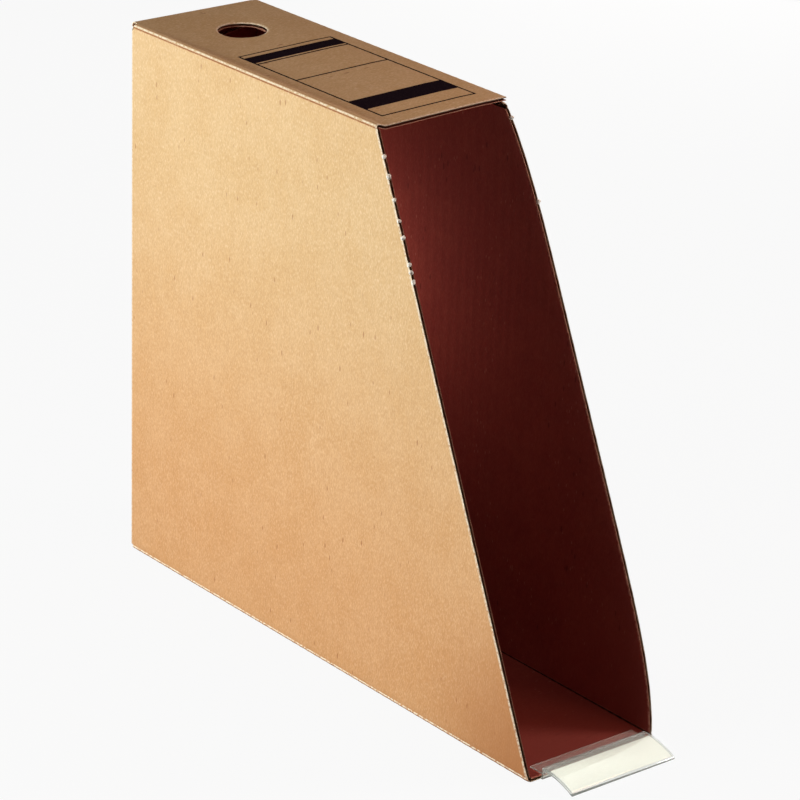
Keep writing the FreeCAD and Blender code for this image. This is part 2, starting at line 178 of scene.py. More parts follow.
def dust_flap(name, side):
    """Its flutes are upright; side is -1 for the left flap and 1 for the right one."""
    low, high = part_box(f"{name}_outer_liner")
    width, length = high.x - low.x, high.z - low.z
    panel = Panel(name, (high.x, high.y, low.z), -X, Z, width, length)
    root, tip = (width, 0) if side < 0 else (0, width)
    panel.cut(panel.at(root, 0), panel.at(tip, FLAP_TAPER))
    panel.cut(panel.at(root, length), panel.at(tip, length - FLAP_TAPER))
    rectangle(panel, ("start",) if side < 0 else ("end",))
    return panel


left_dust_flap = dust_flap("left_dust_flap", -1)
right_dust_flap = dust_flap("right_dust_flap", 1)

back_low, back_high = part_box("back_inner_liner")
back = Panel("back", (back_low.x, BACK, back_low.z), Z, X, back_high.z - back_low.z, back_high.x - back_low.x)
rectangle(back, ("near", "far"))

CREASE = 0.2 * MM  # between two panels whose fold opens in use
TUCK_SLOPE = math.radians(5)
TUCK_DEPTH = 28 * MM
tuck_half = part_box("tuck_flap_outer_liner")[1].x
into_box = Vector((0, -math.cos(TUCK_SLOPE), math.sin(TUCK_SLOPE)))
under_tuck = into_box.cross(-X)
tuck_corner = Vector((tuck_half, BACK_INSIDE, TUCK_FOLD)) + into_box * CREASE + under_tuck * BOARD
tuck_flap = Panel("tuck_flap", tuck_corner, into_box, -X, TUCK_DEPTH - CREASE, 2 * tuck_half)
rectangle(tuck_flap, ("end", "near", "far"))
for edge, inset in ((0, FLAP_TAPER), (tuck_flap.length, tuck_flap.length - FLAP_TAPER)):
    tuck_flap.cut(tuck_flap.at(tuck_flap.width - FLAP_TAPER, edge), tuck_flap.at(tuck_flap.width, inset))

panels = [floor, left_side, right_side, top, glue_flap, left_dust_flap, right_dust_flap, back, tuck_flap]
for panel in panels:
    print(f"{panel.name}: {panel.width / MM:.0f} x {panel.length / MM:.0f} mm")

# %% [markdown]
# ## Selecting in code
#
# Blender's edit operators act on what is selected. By hand we would box-select; here a function says
# which vertices we want by their place. Everything else is deselected first.

# %% Edit mode helpers


def edit(piece, chosen):
    """Goes into edit mode with only those vertices selected for whose place chosen() is true."""
    bpy.ops.object.select_all(action="DESELECT")
    piece.select_set(True)
    bpy.context.view_layer.objects.active = piece
    bpy.ops.object.mode_set(mode="EDIT")
    bpy.ops.mesh.select_mode(type="VERT")
    bpy.ops.mesh.select_all(action="DESELECT")
    mesh = bmesh.from_edit_mesh(piece.data)
    for vertex in mesh.verts:
        vertex.select_set(bool(chosen(vertex.co)))
    mesh.select_flush(True)
    bmesh.update_edit_mesh(piece.data)


def leave_edit():
    bpy.ops.object.mode_set(mode="OBJECT")


def everywhere(place):
    return True


def nowhere(place):
    return False


SLICE_THRESHOLD = 0.0001 * MM  # far below a paper's thickness
MERGE_DISTANCE = 0.001 * MM


def slice_piece(piece, point, normal, drop_outside=False):
    """Bisects the whole piece."""
    edit(piece, everywhere)
    bpy.ops.mesh.bisect(
        plane_co=point, plane_no=normal, clear_outer=drop_outside, threshold=SLICE_THRESHOLD
    )
    leave_edit()


# %% [markdown]
# ## From a grid to a paper
#
# Each paper starts as a grid over its panel, scaled and turned into place in edit mode and object mode.
# Its cells are about a sixth of a flute wide, so that the flutes can show through it. Then it is
# trimmed by the panel's cuts, and a few more loops are sliced in next to each cut, where the board is
# crushed and needs more points.

# %% The outer face of a panel as a grid
CELL_ACROSS = FLUTE_PITCH / 6
CELL_ALONG = 4 * MM
CRUSH_REACH = 1.5 * MM  # how far in from a cut the knife presses the board
CRUSH_LOOPS = (0.3 * MM, 0.7 * MM, 1.1 * MM, CRUSH_REACH)


def grid_over(panel, name, cell_across, cell_along):
    bpy.ops.object.select_all(action="DESELECT")
    bpy.ops.mesh.primitive_grid_add(
        x_subdivisions=max(1, round(panel.width / cell_across)),
        y_subdivisions=max(1, round(panel.length / cell_along)),
        size=1,
    )
    piece = bpy.context.object
    piece.name = piece.data.name = name
    edit(piece, everywhere)
    bpy.ops.transform.resize(value=(panel.width, panel.length, 1))
    leave_edit()
    piece.matrix_world = Matrix.Translation(panel.middle) @ Matrix(
        (panel.across, panel.along, panel.outward)
    ).transposed().to_4x4()
    bpy.ops.object.transform_apply(location=True, rotation=True, scale=True)
    return piece


# %% Rounding an edge over
FOLD_STEPS = 14


def fold_over(piece, panel, on_edge, axis_point, axis, angle):
    """Spins one edge of a sheet round a fold's axis; spin counts its angle clockwise."""
    edit(piece, on_edge)
    bpy.ops.mesh.spin(steps=FOLD_STEPS, angle=-angle, center=axis_point, axis=axis)
    bpy.ops.mesh.select_all(action="SELECT")
    bpy.ops.mesh.remove_doubles(threshold=MERGE_DISTANCE)
    bpy.ops.mesh.normals_make_consistent(inside=False)
    leave_edit()
    face = max(piece.data.polygons, key=lambda polygon: abs(polygon.normal.dot(panel.outward)) * polygon.area)
    if face.normal.dot(panel.outward) < 0:
        edit(piece, everywhere)
        bpy.ops.mesh.flip_normals()
        leave_edit()


# %% Trimming a sheet to its panel
GROOVE_LOOPS = (-1.0 * MM, -0.5 * MM, 0, 0.5 * MM, 1.0 * MM)


def trim(piece, panel):
    """Cuts the panel's cuts, and slices in the loops that its crushed edges and its grooves need."""
    for start, normal in panel.cuts:
        slice_piece(piece, start, normal, drop_outside=True)
        for depth in CRUSH_LOOPS:
            slice_piece(piece, start - normal * depth, normal)
    for point, normal in panel.scores:
        for depth in GROOVE_LOOPS:
            slice_piece(piece, point + normal * depth, normal)
    for point, normal in panel.slices:
        slice_piece(piece, point, normal)


# %% [markdown]
# ## What the sheets do to each other
#
# Small displacements make flat paper look like board. The flutes telegraph through the liners as a
# faint washboard. The knife crushes the cut edges. The creases leave a groove beside each fold. And no
# large panel is truly flat: the sides are a little uneven, the right one bulges at its free edge, and the
# top dips beside its left fold, which stays up as a ridge. All are functions of place, so that the three
# papers stay parallel.

# %% Washboard and crushed edges
WASHBOARD = 0.035 * MM
OUTER_CRUSH, INNER_CRUSH = 0.4 * MM, 0.25 * MM


def flute(panel, place):
    """Height of the wave, -1 to 1, at a place; the flutes of the sleeve run on round its folds."""
    return math.cos(math.tau * place.dot(panel.across) / FLUTE_PITCH)


def crush(panel, place):
    """1 on a cut and 0 beyond the knife's reach."""
    return max(0, 1 - panel.from_cut(place) / CRUSH_REACH) ** 2


# %% Panels that aren't flat
WARP, WARP_FADE, WARP_BLOTCHES = 0.2 * MM, 40 * MM, 13
SAG, SAG_RIDGE = 1.4 * MM, 4 * MM
SAG_RIGHT_END, SAG_RIGHT_FADE = 20 * MM, 55 * MM
SAG_BACK_END, SAG_BACK_FADE = BACK - 15 * MM, 60 * MM


def sag(place):
    """0 to 1: the top dips beside its left fold, and rises again to the right and to the back."""
    from_fold = (place.x - LEFT_INSIDE) / SAG_RIDGE
    from_right = (SAG_RIGHT_END - place.x) / SAG_RIGHT_FADE
    from_back = (SAG_BACK_END - place.y) / SAG_BACK_FADE
    return max(0, min(1, from_fold, from_right, from_back))


def warp(panel, place):
    """How far a place stands out: the top's sag, or a side's slow unevenness, gone at its folds."""
    if panel is top:
        return -SAG * sag(place)
    if panel not in (left_side, right_side):
        return 0
    from_fold = min(place.z - BOARD, UNDER_TOP - place.z, SIDE_FOLD - place.y)
    fade = max(0, min(1, from_fold / WARP_FADE))
    side = panel.outward.x * 3  # takes each side to its own part of the noise
    return WARP * fade * noise.noise(Vector((side, place.y, place.z)) * WARP_BLOTCHES)


def bow(panel, place):
    """The right panel bulges: not at all at its back fold, most along its free front edge."""
    if panel is not right_side or not BOARD < place.z < UNDER_GLUE_FLAP:
        return 0
    up = (place.z - BOARD) / (UNDER_GLUE_FLAP - BOARD)
    forward = (SIDE_FOLD - place.y) / (SIDE_FOLD - FRONT)
    return SIDE_BOW * (1 - (2 * up - 1) ** 6) * max(0, forward)


# %% Grooves, and moving a sheet into shape
GROOVE_DEPTH, GROOVE_WIDTH = 0.3 * MM, 0.5 * MM


def groove(panel, place):
    """The crease beside a fold, pressed into the outer face."""
    depth = 0
    for point, normal in panel.scores:
        distance = (place - point).dot(normal)
        depth = max(depth, GROOVE_DEPTH * math.exp(-((distance / GROOVE_WIDTH) ** 2)))
    return depth


def shape(piece, panel, depth_at):
    """Bows the sheet, then moves each vertex inwards along its normal by depth_at(place)."""
    mesh = piece.data
    places = [vertex.co.copy() for vertex in mesh.vertices]
    for vertex, place in zip(mesh.vertices, places):
        vertex.co += X * bow(panel, place)
    mesh.update()
    normals = [vertex.normal.copy() for vertex in mesh.vertices]
    for vertex, place, normal in zip(mesh.vertices, places, normals):
        vertex.co += normal * (warp(panel, place) - depth_at(place))
    mesh.update()


# %% [markdown]
# ## Giving paper its thickness
#
# Solidify thickens the sheet inwards. Its rim can have the next material slot, which we use for the raw
# edge that the knife leaves: torn fibres are paler than a paper's calendered face.

# %% Thickness and smooth folds
PAPER_SMOOTHING = math.radians(35)


def thicken(piece, thickness, offset=-1):
    solid = piece.modifiers.new("paper", "SOLIDIFY")
    solid.thickness = thickness
    solid.offset = offset
    solid.use_rim = True
    solid.material_offset_rim = 1
    bpy.ops.object.select_all(action="DESELECT")
    piece.select_set(True)
    bpy.context.view_layer.objects.active = piece
    bpy.ops.object.modifier_apply(modifier=solid.name)
    bpy.ops.object.shade_smooth_by_angle(angle=PAPER_SMOOTHING)


# %% [markdown]
# ## Colours and nodes
#
# Colours are written as they look on a screen, and one function makes them linear. One more function
# adds a node, so that a material reads as a list of layers.

# %% Colour and node helpers


def colour(code):
    """An sRGB hex colour as the linear colour that Blender's sockets take."""
    channels = [int(code[i : i + 2], 16) / 255 for i in (1, 3, 5)]
    linear = [c / 12.92 if c <= 0.04045 else ((c + 0.055) / 1.055) ** 2.4 for c in channels]
    return (*linear, 1)


def add_node(tree, kind, settings=None, inputs=None):
    """Adds a node, sets its properties, and fills its inputs from values or other nodes' outputs."""
    made = tree.nodes.new(f"ShaderNode{kind}")
    for name, value in (settings or {}).items():
        setattr(made, name, value)
    for name, value in (inputs or {}).items():
        if isinstance(value, bpy.types.NodeSocket):
            tree.links.new(value, made.inputs[name])
        else:
            made.inputs[name].default_value = value
    return made


def new_material(name):
    material = bpy.data.materials.new(name)
    material.use_nodes = True
    material.node_tree.nodes.clear()
    return material, material.node_tree


def ramp(tree, value, low, high, start=0.0, end=1.0):
    """Value from low to high, mapped smoothly to start to end."""
    return add_node(
        tree, "MapRange", {"interpolation_type": "SMOOTHSTEP"},
        {"Value": value, "From Min": low, "From Max": high, "To Min": start, "To Max": end},
    ).outputs["Result"]


def tinted(tree, factor, base, layer, blend="MIX"):
    """Lays a colour over another by a factor."""
    mix = add_node(
        tree, "Mix", {"data_type": "RGBA", "blend_type": blend}, {"Factor": factor, 6: base, 7: layer}
    )
    return mix.outputs[2]


# %% [markdown]
# ## Kraft paper
#
# Unbleached kraft liner is matte. Its colour comes from wood fibres: slow blotches where the sheet is
# denser, fine streaks along the machine's direction, a few dark bark specks and pale shives. Painted shade
# makes it redder and darker towards its foot, and darker at the toe, its lowest front corner. It scuffs pale
# along its cuts, a painted highlight pales each fold's ridge, and painted shade darkens its creases. The same
# recipe, redder and darker, partly as painted shade, makes the inner liner.

# %% Flecks in the paper


def speckle(tree, coordinates, size, share, thin):
    """Small elongated flecks: cells of a Voronoi pattern, of which only a share has one."""
    stretched = add_node(
        tree, "Mapping", {"vector_type": "POINT"}, {"Vector": coordinates, "Scale": thin}
    ).outputs["Vector"]
    cells = add_node(
        tree, "TexVoronoi", {}, {"Vector": stretched, "Scale": 1 / size, "Randomness": 1.0}
    )
    near = ramp(tree, cells.outputs["Distance"], 0.10, 0.20, 1.0, 0.0)
    chance = add_node(tree, "SeparateColor", {}, {"Color": cells.outputs["Color"]}).outputs["Red"]
    kept = add_node(tree, "Math", {"operation": "LESS_THAN"}, {0: chance, 1: share}).outputs[0]
    return add_node(tree, "Math", {"operation": "MULTIPLY"}, {0: near, 1: kept}).outputs[0]


# %% The kraft recipe
BLOTCH, CLOUD, STREAK, FIBRE = 26 * MM, 5 * MM, 1.3 * MM, 0.5 * MM  # a fibre is drawn coarser than it is
BARK_SPACING, SHIVE_SPACING, RUB = 3.4 * MM, 2.3 * MM, 1.6 * MM
# Painted shade: redder and darker below the first height, fully so below the second, and darker near the toe.
SHADED_BELOW, FULLY_SHADED_BELOW = 260 * MM, 20 * MM
TOE_REACH = 95 * MM
FIBRE_RELIEF, CALENDERED_GLOSS = 0.06 * MM, 0.05


def kraft_paper(name, body, pale, dark, scuff_and_highlight, bark_and_crease_shade, foot_shade, toe_shade, grain, flecks):
    """grain says how much finer the pattern is along each axis; its small number is the streaks' axis."""
    material, tree = new_material(name)
    place = add_node(tree, "TexCoord").outputs["Object"]
    along_grain = add_node(tree, "Mapping", {}, {"Vector": place, "Scale": grain}).outputs["Vector"]

    def pattern(size, detail, vector=along_grain, rough=0.6):
        return add_node(
            tree, "TexNoise", {}, {"Vector": vector, "Scale": 1 / size, "Detail": detail, "Roughness": rough}
        ).outputs["Fac"]

    blotches = ramp(tree, pattern(BLOTCH, 2.0, place), 0.35, 0.65)
    cloud = ramp(tree, pattern(CLOUD, 3.0, place), 0.3, 0.7)
    streaks = ramp(tree, pattern(STREAK, 3.0), 0.32, 0.68)
    fibres = ramp(tree, pattern(FIBRE, 2.0), 0.3, 0.7)

    shade = tinted(tree, blotches, colour(body), colour(pale))
    shade = tinted(tree, ramp(tree, cloud, 0, 1, 0.0, 0.08), shade, colour(dark))
    shade = tinted(tree, ramp(tree, streaks, 0, 1, 0.0, 0.18), shade, colour(dark))
    shade = tinted(tree, ramp(tree, fibres, 0, 1, 0.18, 0.0), shade, colour(dark))
    shade = tinted(tree, ramp(tree, fibres, 0.5, 1, 0.0, flecks), shade, colour(scuff_and_highlight))
    bark = speckle(tree, along_grain, BARK_SPACING, 0.16, (1, 1, 1))
    shives = speckle(tree, along_grain, SHIVE_SPACING, 0.2, (1.3, 1.3, 1.3))
    shade = tinted(tree, ramp(tree, bark, 0, 1, 0.0, 0.5), shade, colour(bark_and_crease_shade))
    shade = tinted(tree, ramp(tree, shives, 0, 1, 0.0, 0.35), shade, colour(scuff_and_highlight))

    height = add_node(tree, "SeparateXYZ", {}, {"Vector": place}).outputs["Z"]
    from_toe = add_node(
        tree, "Mapping", {}, {"Vector": place, "Location": (0, -FRONT, 0), "Scale": (0, 1, 0.9)}
    ).outputs["Vector"]
    from_toe = add_node(tree, "VectorMath", {"operation": "LENGTH"}, {0: from_toe}).outputs["Value"]
    # Painted shade: redder and darker towards the foot.
    foot_shade_amount = ramp(tree, height, FULLY_SHADED_BELOW, SHADED_BELOW, 0.9, 0.0)
    shade = tinted(tree, foot_shade_amount, shade, colour(foot_shade), "MULTIPLY")
    # Painted shade darkens the toe, the lowest front corner.
    shade = tinted(tree, ramp(tree, from_toe, 0, TOE_REACH, 0.8, 0.0), shade, colour(toe_shade))

    rub = pattern(RUB, 3.0, place, 0.7)
    # Scuffs, and a painted highlight along the folds' ridges.
    wear_and_highlight = add_node(tree, "Attribute", {"attribute_name": "wear_and_highlight"}).outputs["Fac"]
    wear_and_highlight_amount = add_node(
        tree, "Math", {"operation": "MULTIPLY"}, {0: wear_and_highlight, 1: ramp(tree, rub, 0.36, 0.56)}
    ).outputs[0]
    # Painted shade in the creases beside the folds.
    crease = add_node(tree, "Attribute", {"attribute_name": "crease"}).outputs["Fac"]
    crease_shade_amount = add_node(
        tree, "Math", {"operation": "MULTIPLY"}, {0: crease, 1: ramp(tree, rub, 0.30, 0.50, 0.45, 1.0)}
    ).outputs[0]
    shade = tinted(tree, crease_shade_amount, shade, colour(bark_and_crease_shade))
    shade = tinted(tree, wear_and_highlight_amount, shade, colour(scuff_and_highlight))

    relief = add_node(
        tree, "Math", {"operation": "MULTIPLY_ADD"}, {0: streaks, 1: 0.5, 2: fibres}
    ).outputs[0]
    bump = add_node(
        tree, "Bump", {}, {"Strength": 0.35, "Distance": FIBRE_RELIEF, "Height": relief}
    ).outputs["Normal"]
    surface = add_node(
        tree, "BsdfPrincipled", {},
        {"Base Color": shade, "Roughness": 0.86, "IOR": 1.45, "Normal": bump},
    )
    surface.inputs["Specular IOR Level"].default_value = CALENDERED_GLOSS
    add_node(tree, "OutputMaterial", {}, {"Surface": surface.outputs["BSDF"]})
    return material


# %% The outer and the inner liner, upright and crosswise
UPRIGHT_GRAIN, CROSS_GRAIN = (1, 1, 0.3), (0.3, 1, 1)
# The pale colour also paints a highlight on the folds' ridges; the crease, foot and toe colours paint shade.
OUTER_KRAFT = dict(
    body="#D2AD7E", pale="#D6B386", dark="#B0885B", scuff_and_highlight="#F8E8CE", bark_and_crease_shade="#884726",
    foot_shade="#FFE4D6", toe_shade="#AC6F45", flecks=0.2,
)
# The inner liner's dark red-brown is partly its own tone and partly painted shade of the box's inside.
INNER_KRAFT = dict(
    body="#8B3E35", pale="#904338", dark="#702E29", scuff_and_highlight="#C08270", bark_and_crease_shade="#4A1E1A",
    foot_shade="#FFFFFF", toe_shade="#8B3E35", flecks=0.06,
)
outer_upright = kraft_paper("kraft_liner_upright", grain=UPRIGHT_GRAIN, **OUTER_KRAFT)
outer_across = kraft_paper("kraft_liner_across", grain=CROSS_GRAIN, **OUTER_KRAFT)
inner_upright = kraft_paper("inner_kraft_liner_upright", grain=UPRIGHT_GRAIN, **INNER_KRAFT)
inner_across = kraft_paper("inner_kraft_liner_across", grain=CROSS_GRAIN, **INNER_KRAFT)
print("kraft liners:", len(outer_upright.node_tree.nodes), "nodes each")

# %% [markdown]
# ## Raw edges, fluting, ink
#
# A cut edge is loose fibre: paler, rougher, without the paper's calendered face. Fluting medium is a
# thin brown recycled paper. The print is flexographic ink, which soaks in: it takes the paper's
# mottling with it and stays matte, with no shine at all.

# %% Cut edges and fluting


def fibrous(name, body, light, dark, grit):
    """Loose fibre with a random grain of that size in metres."""
    material, tree = new_material(name)
    place = add_node(tree, "TexCoord").outputs["Object"]
    grain = add_node(
        tree, "TexNoise", {}, {"Vector": place, "Scale": 1 / grit, "Detail": 3.0, "Roughness": 0.7}
    ).outputs["Fac"]
    patches = add_node(
        tree, "TexNoise", {}, {"Vector": place, "Scale": 1 / (8 * grit), "Detail": 1.0}
    ).outputs["Fac"]
    shade = tinted(tree, ramp(tree, grain, 0.35, 0.65), colour(dark), colour(light))
    shade = tinted(tree, ramp(tree, patches, 0.4, 0.6, 0.1, 0.7), shade, colour(body))
    bump = add_node(
        tree, "Bump", {}, {"Strength": 0.6, "Distance": 0.1 * MM, "Height": grain}
    ).outputs["Normal"]
    surface = add_node(
        tree, "BsdfPrincipled", {}, {"Base Color": shade, "Roughness": 0.95, "Normal": bump}
    )
    surface.inputs["Specular IOR Level"].default_value = 0.15
    add_node(tree, "OutputMaterial", {}, {"Surface": surface.outputs["BSDF"]})
    return material


outer_edge = fibrous("raw_kraft_edge", "#F0DDBB", "#FFF6E4", "#D0A679", 0.5 * MM)
inner_edge = fibrous("raw_inner_edge", "#B97B62", "#DDA88D", "#7E4535", 0.5 * MM)
fluting_paper = fibrous("fluting_medium", "#4F3323", "#62412C", "#382217", 0.6 * MM)
fluting_edge = fibrous("raw_fluting_edge", "#6B4833", "#8D6347", "#45291C", 0.5 * MM)
torn_fibre = fibrous("torn_fibre", "#F8F0E4", "#FFFDF6", "#DCCBB4", 0.3 * MM)


# %% Printing ink
INK_MOTTLE = 0.6 * MM


def printing_ink():
    material, tree = new_material("flexo_ink")
    place = add_node(tree, "TexCoord").outputs["Object"]
    mottle = add_node(
        tree, "TexNoise", {}, {"Vector": place, "Scale": 1 / INK_MOTTLE, "Detail": 3.0, "Roughness": 0.7}
    ).outputs["Fac"]
    shade = tinted(tree, ramp(tree, mottle, 0.45, 0.75), colour("#1D151C"), colour("#33272B"))
    surface = add_node(tree, "BsdfPrincipled", {}, {"Base Color": shade, "Roughness": 0.9})
    surface.inputs["Specular IOR Level"].default_value = 0.0
    add_node(tree, "OutputMaterial", {}, {"Surface": surface.outputs["BSDF"]})
    return material


ink = printing_ink()
print("materials:", ", ".join(sorted(material.name for material in bpy.data.materials if material.users)))

# %% [markdown]
# ## Rounded folds, their wear, painted highlight and painted shade
#
# The side panels carry the sleeve's rounded folds: each is the panel's edge, spun a quarter turn round
# the fold's inner corner. Wear with its painted highlight, and the painted crease shade, are written on the
# vertices as two attributes, which the kraft paper reads.

# %% The sleeve's folds
QUARTER = math.pi / 2


def folded(piece, panel):
    """Adds the rounded folds to the left or the right side panel's sheet."""
    inside, top_turn = (LEFT_INSIDE, QUARTER) if panel is left_side else (RIGHT_INSIDE, -QUARTER)
    highest = UNDER_TOP if panel is left_side else UNDER_GLUE_FLAP
    for height, turn in ((BOARD, -top_turn), (highest, top_turn)):
        fold_over(
            piece, panel, lambda place: abs(place.z - height) < MERGE_DISTANCE,
            Vector((inside, 0, height)), Y, turn,
        )


def write_attribute(piece, name, value_at):
    values = [value_at(vertex.co) for vertex in piece.data.vertices]
    attribute = piece.data.attributes.new(name, "FLOAT", "POINT")
    attribute.data.foreach_set("value", values)


def bump_at(value, middle, width):
    """1 at the middle, falling smoothly to 0 on both sides."""
    return math.exp(-(((value - middle) / width) ** 2))


def into_fold(panel, place):
    """Degrees turned into the nearest long fold, from the side panel's own face."""
    highest = UNDER_TOP if panel is left_side else UNDER_GLUE_FLAP
    rise = max(place.z - highest, BOARD - place.z, 0)
    return math.degrees(math.asin(min(1, rise / BOARD)))


# %% Where the outer paper is rubbed, painted with highlight and painted with crease shade
RUBBED_EDGE = 0.9 * MM


def rubbed_and_highlit(panel, place):
    """Where it is paler: scuffed along its cuts, and a painted highlight part of the way round each long
    fold.
    """
    edge = max(0, 1 - panel.from_cut(place) / RUBBED_EDGE) ** 0.5
    if panel not in (left_side, right_side):
        return edge
    turned = into_fold(panel, place)
    return max(edge, bump_at(turned, 42, 9) if place.z > BOARD else bump_at(turned, 10, 10))


def bark_and_crease_shade(panel, place):
    """Where painted crease shade darkens it: on both sides of a top fold's ridge, below a floor fold's."""
    if panel not in (left_side, right_side):
        return 0
    turned = into_fold(panel, place)
    if place.z > BOARD:
        return max(bump_at(turned, 20, 9), 0.7 * bump_at(turned, 66, 9))
    return bump_at(turned, 48, 22)


for panel in (left_side, right_side):
    highest = UNDER_TOP if panel is left_side else UNDER_GLUE_FLAP
    panel.scores = [(Vector((0, 0, highest)), Z), (Vector((0, 0, BOARD)), Z)]

# %% [markdown]
# ## The label field
#
# The top carries a printed frame for a label: thin rules and two solid bars. Ink has no thickness worth
# modelling, so the rules' borders are sliced into the paper and the faces between them take the ink
# as their material. That keeps the print sharp at any distance.

# %% The printed field's rectangles
RULE = 1.15 * MM
FIELD_LEFT, FIELD_RIGHT = -27.2 * MM, 30.5 * MM
FIELD_FRONT, FIELD_BACK = -26.1 * MM, 88.4 * MM
NARROW_BAR = (74.8 * MM, 84.2 * MM)
WIDE_BAR = (-13.6 * MM, 0.7 * MM)
CROSS_RULES = (FIELD_FRONT, 40.9 * MM, 72.3 * MM, FIELD_BACK - RULE)

inked = [(FIELD_LEFT, FIELD_RIGHT, low, low + RULE) for low in CROSS_RULES]
inked += [(FIELD_LEFT, FIELD_RIGHT, *bar) for bar in (NARROW_BAR, WIDE_BAR)]
inked += [(low, low + RULE, FIELD_FRONT, FIELD_BACK) for low in (FIELD_LEFT, FIELD_RIGHT - RULE)]


def print_field(piece):
    """Slices the borders of every inked rectangle and gives what is inside the ink's slot."""
    for place in sorted({edge for box in inked for edge in box[:2]}):
        slice_piece(piece, X * place, X)
    for place in sorted({edge for box in inked for edge in box[2:]}):
        slice_piece(piece, Y * place, Y)
    for face in piece.data.polygons:
        where = face.center
        if any(a < where.x < b and c < where.y < d for a, b, c, d in inked):
            face.material_index = 2


# %% [markdown]
# ## The finger hole
#
# A round hole in a grid wants round loops. We delete a square of cells, then extrude the border of the
# square inwards, each time onto a smaller circle. The last circles are close together, which lets the
# knife's crush round the paper over the hole's edge.

# %% Punching the hole
RING_GAPS = (3.0 * MM, *reversed(CRUSH_LOOPS), 0)
ROUND_HOLE = HOLE_RADIUS + RING_GAPS[0] + 1.5 * MM  # half the side of the square that is deleted


def punch(piece, panel):
    """Deletes a square of cells, then extrudes its border inwards to ever smaller circles."""
    centre = Vector((panel.hole.x, panel.hole.y, panel.corner.z))
    edit(piece, nowhere)
    bpy.ops.mesh.select_mode(type="FACE")
    mesh = bmesh.from_edit_mesh(piece.data)
    for face in mesh.faces:
        offset = face.calc_center_median() - centre
        face.select_set(max(abs(offset.x), abs(offset.y)) < ROUND_HOLE)
    bpy.ops.mesh.delete(type="FACE")
    bpy.ops.mesh.select_mode(type="EDGE")
    mesh = bmesh.from_edit_mesh(piece.data)
    for edge in mesh.edges:
        near = (edge.verts[0].co - centre).length < 2 * ROUND_HOLE
        edge.select_set(edge.is_boundary and near)
    for gap in RING_GAPS:
        bpy.ops.mesh.extrude_edges_move()
        mesh = bmesh.from_edit_mesh(piece.data)
        for vertex in mesh.verts:
            if vertex.select:
                vertex.co = centre + (vertex.co - centre).normalized() * (HOLE_RADIUS + gap)
    bmesh.update_edit_mesh(piece.data)
    leave_edit()
    print(f"{piece.name}: hole of {2 * HOLE_RADIUS / MM:.0f} mm")


# %% [markdown]
# ## Three papers per panel
#
# Every paper of a panel starts from the same trimmed and folded sheet on the board's outer face, and
# is moved inwards to its own depth. The outer liner stays there, pressed in where the knife or the clip
# crushed it. The inner liner lies at the bottom. The fluting swings between the two, and follows
# both, so it is squeezed flat where they come close.

# %% How deep each paper lies
FLUTING_PAPER = 0.22 * MM
CLIP_PRESS = 0.9 * MM  # the clip's lower leg is pressed this far into the floor's underside
BED_MARGIN, BED_SLOPE, BED_DEPTH = 0.4 * MM, 0.5 * MM, 7.4 * MM
clip_low, clip_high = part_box("label_holder")
bed_left, bed_right, bed_back = clip_low.x - BED_MARGIN, clip_high.x + BED_MARGIN, FRONT + BED_DEPTH
for axis, edge, slope in ((X, bed_left, BED_SLOPE), (X, bed_right, -BED_SLOPE), (Y, bed_back, -BED_SLOPE)):
    floor.slices += [(axis * edge, axis), (axis * (edge + slope), axis)]


def clip_press(panel, place):
    """The shallow bed that the clip's lower leg has pressed into the floor."""
    if panel is not floor:
        return 0
    outside = max(bed_left - place.x, place.x - bed_right, place.y - bed_back)
    return CLIP_PRESS * max(0, min(1, -outside / BED_SLOPE))


def outer_depth(panel, place):
    washboard = WASHBOARD * (1 - flute(panel, place))
    return OUTER_CRUSH * crush(panel, place) + clip_press(panel, place) + groove(panel, place) + washboard


def inner_depth(panel, place):
    washboard = WASHBOARD * (1 + flute(panel, place))
    return BOARD - LINER - INNER_CRUSH * crush(panel, place) - washboard


def fluting_depth(panel, place):
    half = FLUTING_PAPER / 2
    shallow = outer_depth(panel, place) + LINER + half
    deep = max(shallow, inner_depth(panel, place) - half)
    return shallow + (deep - shallow) * (0.5 - 0.5 * flute(panel, place))


# %% Making one paper
FLUTING_ACROSS, FLUTING_ALONG = FLUTE_PITCH / 10, 12 * MM  # the wave needs narrow cells, but long ones do
HOLE_ALONG = 2 * MM  # the finger hole needs short ones
PLY_DEPTH = {"outer_liner": outer_depth, "fluting": fluting_depth, "inner_liner": inner_depth}
PLY_THICKNESS = {"outer_liner": LINER, "fluting": FLUTING_PAPER, "inner_liner": LINER}
UPRIGHT = (left_side, right_side, left_dust_flap, right_dust_flap)
BODY = {"back": "back_panel", "tuck_flap": "tuck_flap", "left_dust_flap": "left_dust_flap",
        "right_dust_flap": "right_dust_flap"}


def papers_of(panel, ply):
    """The materials of one ply: its face, its raw edge and, on the top, the ink."""
    if ply == "outer_liner":
        return [outer_upright if panel in UPRIGHT else outer_across, outer_edge, ink]
    if ply == "inner_liner":
        return [inner_upright if panel in UPRIGHT else inner_across, inner_edge]
    return [fluting_paper, fluting_edge]


